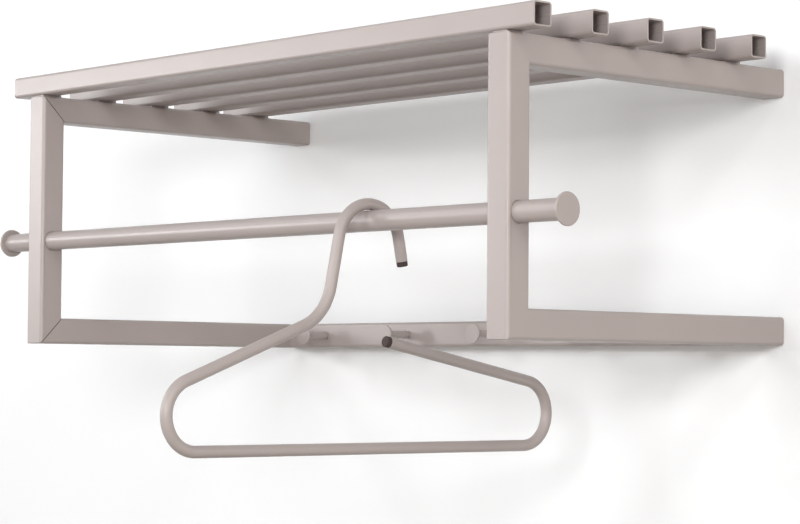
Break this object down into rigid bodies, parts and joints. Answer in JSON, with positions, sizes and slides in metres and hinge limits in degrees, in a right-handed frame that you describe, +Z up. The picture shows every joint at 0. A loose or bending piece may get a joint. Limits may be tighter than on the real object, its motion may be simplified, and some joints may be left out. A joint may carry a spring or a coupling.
{
  "type": "wall coat rack",
  "caption": "Wall coat rack of welded square steel tube with a slatted hat shelf, a hanging rod with end knobs, a rear rail of coat pegs and a bent-tube hanger, in warm grey powder coat.",
  "frame": {"origin": "middle of the rear rail's back face, on the wall", "axes": "+X to the right along the shelf, +Y into the wall, +Z up"},
  "size_m": [0.7688, 0.5445, 0.359],
  "materials": {
    "powder_coat": "warm grey satin powder coat with a fine texture, on steel tube",
    "zinc": "zinc-plated steel, hidden threaded inserts",
    "dark_plastic": "matt dark brown plastic plugs"
  },
  "bodies": {
    "frame": {"post_left": "powder_coat", "post_right": "powder_coat", "top_arm_left": "powder_coat", "top_arm_right": "powder_coat", "bottom_arm_left": "powder_coat", "bottom_arm_right": "powder_coat", "top_plate_left": "powder_coat", "top_plate_right": "powder_coat", "bottom_plate_left": "powder_coat", "bottom_plate_right": "powder_coat", "shelf_tube_1": "powder_coat", "shelf_tube_2": "powder_coat", "shelf_tube_3": "powder_coat", "shelf_tube_4": "powder_coat", "shelf_tube_5": "powder_coat", "shelf_pad_1_left": "powder_coat", "shelf_pad_1_right": "powder_coat", "shelf_pad_2_left": "powder_coat", "shelf_pad_2_right": "powder_coat", "shelf_pad_3_left": "powder_coat", "shelf_pad_3_right": "powder_coat", "shelf_pad_4_left": "powder_coat", "shelf_pad_4_right": "powder_coat", "shelf_pad_5_left": "powder_coat", "shelf_pad_5_right": "powder_coat", "rear_rail": "powder_coat", "peg_1": "powder_coat", "peg_2": "powder_coat", "peg_3": "powder_coat", "peg_4": "powder_coat", "peg_5": "powder_coat", "peg_nut_1": "zinc", "peg_nut_2": "zinc", "peg_nut_3": "zinc", "peg_nut_4": "zinc", "peg_nut_5": "zinc"},
    "rod": {"hang_rod": "powder_coat", "knob_left": "powder_coat", "knob_right": "powder_coat", "rod_insert_left": "zinc", "rod_insert_right": "zinc"},
    "hanger": {"hanger": "powder_coat", "hanger_hook_plug": "dark_plastic", "hanger_shoulder_plug": "dark_plastic"}
  },
  "joints": [
    {"name": "rod_turn", "type": "hinge", "parent": "frame", "child": "rod", "pos_m": [0, -0.3295, 0.0882], "axis": [1, 0, 0], "range_deg": [-30, 30]},
    {"name": "hanger_slide", "type": "slide", "parent": "rod", "child": "hanger", "axis": [1, 0, 0], "range_m": [-0.4599, 0.1455]}
  ]
}
